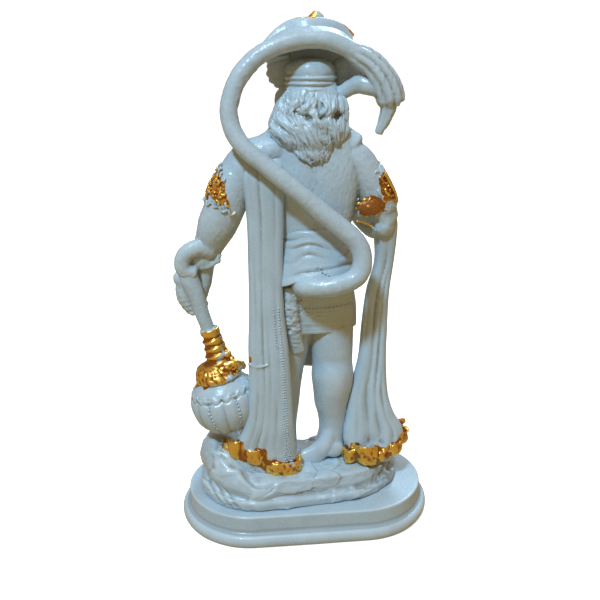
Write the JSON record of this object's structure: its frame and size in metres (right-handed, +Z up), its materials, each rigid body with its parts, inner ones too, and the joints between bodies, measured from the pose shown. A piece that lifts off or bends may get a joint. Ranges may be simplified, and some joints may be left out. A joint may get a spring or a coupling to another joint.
{
  "type": "hanuman figure",
  "caption": "Cast painted temple figure of a mace bearer with a long looped tail, seen from all sides, standing on a rock on a moulded oblong plinth.",
  "frame": {"origin": "centre of the plinth's underside", "axes": "+Z up, the figure faces -Y, its left hand with the mace is on the +X side"},
  "size_m": [0.1306, 0.0754, 0.2498],
  "materials": {
    "enamel": "pale blue-white gloss enamel over cast resin, with gold paint on the armlets, the mace's neck, the crown's edge and the cloth hems",
    "plinth_enamel": "pale blue-white gloss enamel over cast resin"
  },
  "bodies": {
    "root": {"plinth": "plinth_enamel", "figure": "enamel"}
  },
  "joints": []
}
